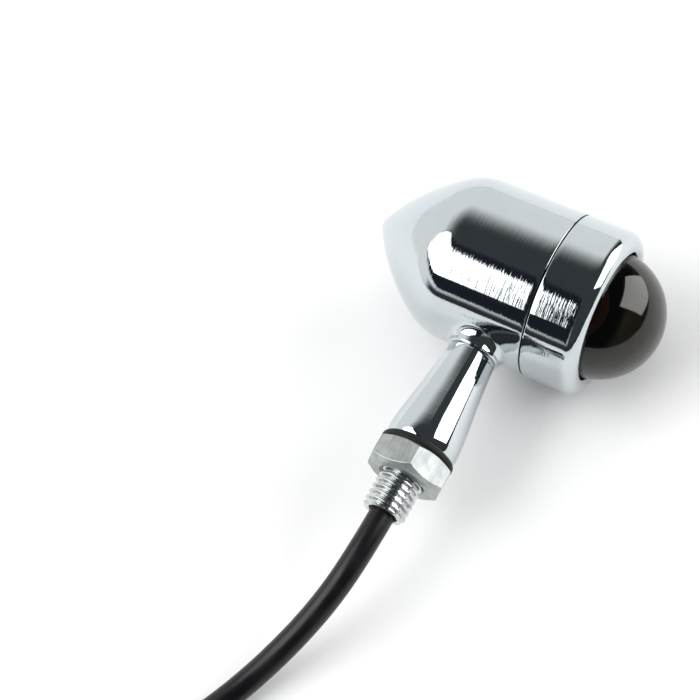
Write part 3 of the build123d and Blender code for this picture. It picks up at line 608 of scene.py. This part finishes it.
def build_housing():
    made = bmesh.new()
    edge_x = SEAM_X - 0.35
    outer = nose(0, 20) + spread([(CYLINDER_X, BODY_R), (edge_x, BODY_R)], 1.0)[1:]
    seam = arc((edge_x, BODY_R - SEAM_EDGE_R), SEAM_EDGE_R, 90, 0, 5)[1:] + [(SEAM_X - 0.13, 18.6)]
    root = SPIGOT_R - 0.45
    thread = []
    for pitch in range(4):
        x = SEAM_X + 0.9 + pitch
        thread += [(x, SPIGOT_R), (x + 0.12, SPIGOT_R), (x + 0.5, root), (x + 0.62, root)]
    spigot = [(SEAM_X, SPIGOT_R + RUNNING_GAP), (SEAM_X + 0.1, SPIGOT_R)] + thread
    spigot += [(SPIGOT_END_X - 0.4, SPIGOT_R), (SPIGOT_END_X, SPIGOT_R - 0.4), (SPIGOT_END_X, SPIGOT_BORE_R)]
    inner = [(SEAM_X, SPIGOT_BORE_R), (SEAM_X - WALL, BODY_R - WALL)] + list(reversed(nose(WALL, 12)))
    revolve(made, outer + seam + spigot + inner, along_x, 288, closed=False)
    finish_mesh("housing_shell", made, "chrome_x", "lamp", ["housing"])
    made = bmesh.new()
    boss_mesh(made)
    finish_mesh("housing_boss", made, "chrome_x", "lamp", ["housing"])


build_housing()


# ---- bezel, lens and what shows through it ----
def build_bezel():
    made = bmesh.new()
    seam_edge_x = SEAM_X + 0.34
    round_x = BEZEL_END_X - BEZEL_EDGE_R
    opening_edge = (BEZEL_END_X - BEZEL_INNER_R, BEZEL_OPENING_R + BEZEL_INNER_R)
    profile = [(SEAM_X + 0.06, 17.6), (SEAM_X + 0.12, 18.6)]
    profile += arc((seam_edge_x, BODY_R - SEAM_EDGE_R), SEAM_EDGE_R, 180, 90, 5)
    profile += spread([(seam_edge_x, BODY_R), (round_x, BODY_R)], 1.0)[1:]
    profile += arc((round_x, BODY_R - BEZEL_EDGE_R), BEZEL_EDGE_R, 90, 0, 18)[1:]
    profile += arc(opening_edge, BEZEL_INNER_R, 0, -90, 10)
    profile += [(BEZEL_LIP_X, BEZEL_OPENING_R), (BEZEL_LIP_X, BEZEL_BORE_R), (SEAM_X + 0.4, BEZEL_BORE_R)]
    revolve(made, profile, along_x, 288)
    finish_mesh("bezel_ring", made, "chrome_x", "bezel_ring", ["bezel"])


def build_lens():
    made = bmesh.new()
    inner_r = LENS_R - LENS_WALL
    back, front = LENS_FLANGE_X
    edge = 0.1
    profile = arc((LENS_CENTRE_X, 0), LENS_R, 0, 90, 48)
    profile += [(front, LENS_R), (front, LENS_FLANGE_R - edge), (front - edge, LENS_FLANGE_R)]
    profile += [(back + edge, LENS_FLANGE_R), (back, LENS_FLANGE_R - edge), (back, inner_r)]
    profile += arc((LENS_CENTRE_X, 0), inner_r, 90, 0, 40)
    revolve(made, profile, along_x, 192, closed=False)
    finish_mesh("lens_dome", made, "smoked_lens", "lens_unit", ["lens"])


DISH_X = (3.3, 15.3)
DISH_R = (9.6, 14.8)
RIM_X = (SPIGOT_END_X, SPIGOT_END_X + 0.5)
RIM_R = 17.1


def build_reflector():
    """The reflector: a parabolic dish with a flat rim on the end of the spigot."""
    made = bmesh.new()
    steps = 24
    front = []
    for k in range(steps + 1):
        share = k / steps
        x = DISH_X[0] + (DISH_X[1] - DISH_X[0]) * share
        front.append((x, DISH_R[0] + (DISH_R[1] - DISH_R[0]) * sqrt(share)))
    back = [(x - 0.25, r + 0.35) for x, r in reversed(front)]
    rim = [(RIM_X[1], 15.35), (RIM_X[1], RIM_R), (RIM_X[0], RIM_R), (RIM_X[0], 15.5)]
    revolve(made, front + rim + back, along_x, 192)
    finish_mesh("reflector_dish", made, "bright_dish", "lamp", ["reflector"])


def build_bulb():
    made = bmesh.new()
    centre = (GLASS_CENTRE_X, 0)
    inner_r = GLASS_R - GLASS_WALL
    inner_neck_r = GLASS_NECK_R - GLASS_WALL
    neck = degrees(atan2(GLASS_NECK_R, -sqrt(GLASS_R**2 - GLASS_NECK_R**2)))
    inner_neck = degrees(atan2(inner_neck_r, -sqrt(inner_r**2 - inner_neck_r**2)))
    profile = arc(centre, GLASS_R, 0, neck, 36)
    profile += [(RUNNING_GAP, GLASS_NECK_R), (RUNNING_GAP, inner_neck_r)]
    profile += arc(centre, inner_r, inner_neck, 0, 30)
    revolve(made, profile, along_x, 128, closed=False)
    finish_mesh("bulb_envelope", made, "amber_glass", "bulb", ["bulb_glass"])


SPRING_X = (-17.3, -14.1)
SPRING_R = 5.2
SPRING_WIRE_R = 0.25
SPRING_TURNS = 3


def build_spring():
    """The contact spring: three turns of wire, which on the real lamp shorten as the bulb is pushed in."""
    made = bmesh.new()
    length = SPRING_X[1] - SPRING_X[0]
    steps = SPRING_TURNS * 48
    rings = []
    for k in range(steps + 1):
        t = 2 * pi * SPRING_TURNS * k / steps
        x = SPRING_X[0] + SPRING_WIRE_R + (length - 2 * SPRING_WIRE_R) * k / steps
        ring = []
        for side in turns(10):
            place = along_x(x + SPRING_WIRE_R * sin(side), SPRING_R + SPRING_WIRE_R * cos(side), t)
            ring.append(made.verts.new(place))
        rings.append(ring)
    join_rings(made, rings)
    made.faces.new(rings[0])
    made.faces.new(rings[-1])
    spring = finish_mesh("contact_spring_wire", made, "spring_steel", "lamp", ["contact_spring"])
    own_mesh(spring)


build_bezel()
build_lens()
build_reflector()
build_bulb()
build_spring()


# ---- stem, washer, nut and stud ----
def curve_through(points, steps):
    """A smooth curve (Catmull-Rom) through (position, radius) points."""
    out = []
    padded = [Vector(point) for point in (points[0], *points, points[-1])]
    for a, b, c, d in zip(padded, padded[1:], padded[2:], padded[3:]):
        for k in range(steps):
            u = k / steps
            square = (2 * a - 5 * b + 4 * c - d) * u * u
            cube = (3 * b - a - 3 * c + d) * u**3
            out.append(tuple(0.5 * (2 * b + (c - a) * u + square + cube)))
    return out + [points[-1]]


# the stem's outside from its foot to just under the boss
STEM_SIDE = ((0.0, 7.4), (0.5, 7.86), (1.4, 8.24), (2.8, 8.4), (5.5, 8.2),
             (9.0, 7.74), (13.0, 7.18), (17.0, 6.62), (21.0, 6.14), (25.5, 5.7))
STEM_TOP = ((25.75, 5.62), (25.95, 5.42), (25.98, 4.35))
STEM_SPIGOT = ((30.8, 4.25), (31.0, 3.4))


def build_stem():
    made = bmesh.new()
    profile = [(0.0, 5.05), (0.0, 7.3), *curve_through(STEM_SIDE, 8), *STEM_TOP, *STEM_SPIGOT]
    profile += [(STUD_TOP_Y, 3.35), (STUD_TOP_Y, 5.02)]
    revolve(made, profile, along_y, 192)
    finish_mesh("stem_tube", made, "chrome_y", "lamp", ["stem"])


def build_washer():
    made = bmesh.new()
    hole_r = STUD_R + 0.1
    profile = eased(((0.0, hole_r), (0.0, WASHER_R, 0.2), (-WASHER_T, WASHER_R, 0.2), (-WASHER_T, hole_r)))
    revolve(made, profile, along_y, 128)
    finish_mesh("washer_ring", made, "black_rubber", "washer", ["washer"])


def build_nut():
    """The nut: a hexagon whose faces are chamfered to a circle and whose bore opens at both ends."""
    made = bmesh.new()
    segments = 240
    bore = STUD_R + RUNNING_GAP
    chamfer = 0.6
    bottom = NUT_TOP_Y - NUT_T
    rings = []
    corner = radians(90 - NUT_TURN)
    for t in turns(segments):
        wedge = (t - corner + pi / 6) % (pi / 3) - pi / 6
        flat = NUT_FLATS / 2 / cos(pi / 6 - abs(wedge))
        slope = (flat - NUT_FACE_R) * tan(radians(NUT_CHAMFER))
        section = (
            (NUT_TOP_Y - chamfer, bore),
            (NUT_TOP_Y, bore + chamfer),
            (NUT_TOP_Y, NUT_FACE_R),
            (NUT_TOP_Y - slope, flat),
            (bottom + slope, flat),
            (bottom, NUT_FACE_R),
            (bottom, bore + chamfer),
            (bottom + chamfer, bore),
        )
        rings.append([made.verts.new(along_y(y, r, t)) for y, r in section])
    join_rings(made, rings + rings[:1])
    piece = finish_mesh("nut_hexagon", made, "nut_steel", "nut", ["nut"], 20.0)
    round_edges(piece, 0.14, 22)


def thread_radius(phase):
    """The M10 thread's radius at this share of a pitch, with rounded crests and roots."""
    wave = abs((phase % 1.0) - 0.5) * 2
    flank = min(max((wave - 0.2) / 0.62, 0.0), 1.0)
    return STUD_ROOT_R + (STUD_R - STUD_ROOT_R) * flank * flank * (3 - 2 * flank)


def build_stud():
    """The hollow stud: a true helical thread that tapers at its end and runs out under the stem."""
    made = bmesh.new()
    segments = 128
    rows = 340
    rings = []
    for row in range(rows + 1):
        y = STUD_END_Y + (THREAD_TOP_Y - STUD_END_Y) * row / rows
        ring = []
        for t in turns(segments):
            r = thread_radius(y / STUD_PITCH - t / (2 * pi))
            r = min(r, STUD_R - 0.62 + (y - STUD_END_Y) * 0.9)
            if y > THREAD_TOP_Y - 1.0:
                r = max(r, STUD_ROOT_R + (y - THREAD_TOP_Y + 1.0) * (STUD_R - STUD_ROOT_R))
            ring.append(made.verts.new(along_y(y, r, t)))
        rings.append(ring)
    mouth = 0.35
    inside = ((STUD_TOP_Y, STUD_R), (STUD_TOP_Y, STUD_BORE_R), (STUD_END_Y + mouth, STUD_BORE_R),
              (STUD_END_Y, STUD_BORE_R + mouth))
    for y, r in inside:
        rings.append([made.verts.new(along_y(y, r, t)) for t in turns(segments)])
    join_rings(made, rings + rings[:1])
    finish_mesh("stud_thread", made, "stud_steel", "lamp", ["stud"], 50.0)


build_stem()
build_washer()
build_nut()
build_stud()

# ---- cord: out of the stud, down to the table and into its put-away coil ----
COIL_R = 31.0
COIL_CENTRE = (-3.2, -107.5)
COIL_IN = 150.0
COIL_OUT = 270.0
COIL_STEPS = 14
COIL_CLIMB_FROM = COIL_IN + 270.0
COIL_CLIMB = 75.0


def coil_points():
    """One and a third turns, rising onto the first layer where the turns meet."""
    total = 360.0 + COIL_OUT - COIL_IN
    count = round(COIL_STEPS * total / 360)
    out = []
    for k in range(count + 1):
        angle = COIL_IN + total * k / count
        climb = min(max((angle - COIL_CLIMB_FROM) / COIL_CLIMB, 0.0), 1.0)
        lift = 2 * SLEEVE_R * climb * climb * (3 - 2 * climb)
        out.append((COIL_CENTRE[0] + COIL_R * cos(radians(angle)),
                    COIL_CENTRE[1] + COIL_R * sin(radians(angle)), FLOOR_LINE + lift))
    return out


def cord_curve(name, points, radius):
    """A round cord as one open NURBS curve with these control points."""
    curve = bpy.data.curves.new(name, "CURVE")
    curve.dimensions = "3D"
    curve.bevel_depth = radius * MM
    curve.bevel_resolution = 7
    curve.resolution_u = 12
    curve.use_fill_caps = True
    spline = curve.splines.new("NURBS")
    spline.points.add(len(points) - 1)
    for point, spot in zip(spline.points, points):
        point.co = (*(Vector(spot) * MM), 1.0)
    spline.order_u = 3
    spline.use_endpoint_u = True
    piece = bpy.data.objects.new(name, curve)
    bpy.context.scene.collection.objects.link(piece)
    return piece


TIE_INNER_R = SLEEVE_R + 0.1
TIE_OUTER_R = SLEEVE_R + 0.9
TIE_HALF_WIDTH = 1.9
TIE_X = COIL_CENTRE[0] + COIL_R - 0.5
TIE_FOOT_Z = FLOOR_Z + 0.02
TIE_TOP_Z = FLOOR_LINE + TIE_OUTER_R
# the ratchet head and the cut end of the strap: middle along X, middle along Z, and size
TIE_BLOCKS = ((0.0, TIE_TOP_Z + 1.1, (4.6, 4.8, 2.8)), (3.0, TIE_TOP_Z + 1.2, (2.6, 3.4, 0.9)))


def build_tie():
    """The tie's band over the cord, with its ratchet head on top and the cut end of its strap."""
    made = bmesh.new()
    corners = (
        (TIE_OUTER_R, -TIE_HALF_WIDTH),
        (TIE_OUTER_R, TIE_HALF_WIDTH),
        (TIE_INNER_R, TIE_HALF_WIDTH),
        (TIE_INNER_R, -TIE_HALF_WIDTH),
    )
    bow = [(cos(t), sin(t), FLOOR_LINE) for t in reversed(turns(48)[:25])]
    rings = []
    for across, up, base in [(-1, 0, TIE_FOOT_Z), *bow, (1, 0, TIE_FOOT_Z)]:
        ring = [Vector((TIE_X + r * across, COIL_CENTRE[1] + y, base + r * up)) for r, y in corners]
        rings.append([made.verts.new(point * MM) for point in ring])
    join_rings(made, rings)
    made.faces.new(rings[0])
    made.faces.new(rings[-1])
    for x, z, size in TIE_BLOCKS:
        place = Matrix.Translation(Vector((TIE_X + x, COIL_CENTRE[1], z)) * MM)
        bmesh.ops.create_cube(made, size=1.0, matrix=place @ Matrix.Diagonal((*(Vector(size) * MM), 1.0)))
    tie = finish_mesh("coil_tie_band", made, "tie_nylon", "lamp", ["coil_tie"], 40.0)
    round_edges(tie, 0.22, 30)
    return tie


CORD_ROUTE = [
    (0, -12, 0),
    (0, -25.5, 0),
    (-3.6, -39.5, -7.0),
    (-10.5, -55.0, -14.6),
    (-18.0, -71.0, FLOOR_LINE),
]
SLEEVE_TAIL = 3.0
coil = coil_points()
sleeve_end = (coil[-1][0] + SLEEVE_TAIL, coil[-1][1], coil[-1][2])
cord = cord_curve("cord", [*CORD_ROUTE, *coil, sleeve_end], SLEEVE_R)
dress(cord, "sleeve_pvc", "lamp", ["cord_sleeve", "cord_coil", "sleeve_end"])

FAR_END = ["live_tail", "ground_tail", "live_boot", "ground_boot", "live_plug", "ground_plug"]
far_pieces = [build_tie()] + [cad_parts[name] for name in FAR_END]

# ---- the CAD nodes that show as they are ----
CARRIED = {
    "lens_gasket": "black_rubber", "bulb_mount": "clear_glass", "bulb_supports": "solder",
    "bulb_filament": "tungsten", "bulb_base": "plated_brass", "bulb_insulator": "black_glass",
    "bulb_tip": "solder", "bulb_pins": "plated_brass", "socket_shell": "plated_steel",
    "rear_insulator": "phenolic", "rear_terminal": "brass", "contact_disc": "phenolic",
    "contact_plunger": "brass", "socket_bracket": "plated_steel",
    "ground_lug": "plated_brass", "bracket_screws": "plated_steel", "live_lead": "live_pvc",
    "ground_lead": "ground_pvc", "cord_bushing": "black_rubber",
    "live_tail": "live_pvc", "ground_tail": "ground_pvc", "live_boot": "boot_pvc",
    "ground_boot": "boot_pvc", "live_plug": "brass", "ground_plug": "brass",
}
for name, finish in CARRIED.items():
    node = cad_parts[name]
    node.data.materials.clear()
    node.data.materials.append(M[finish])


# ---- table ----
def build_floor():
    mesh = bpy.data.meshes.new("table")
    made = bmesh.new()
    bmesh.ops.create_grid(made, x_segments=8, y_segments=8, size=4.0)
    made.to_mesh(mesh)
    made.free()
    floor = bpy.data.objects.new("table", mesh)
    floor.location.z = FLOOR_Z * MM
    bpy.context.scene.collection.objects.link(floor)

    def paper(n, shader, place):
        cloud = n.noise(place, 40.0, 3.0)
        n.put(n.mix(cloud, (0.85, 0.85, 0.85, 1.0), (0.88, 0.88, 0.88, 1.0)), shader.inputs["Base Color"])

    mesh.materials.append(material("table", (0.87, 0.87, 0.87), 0.0, 0.7, paper))


build_floor()
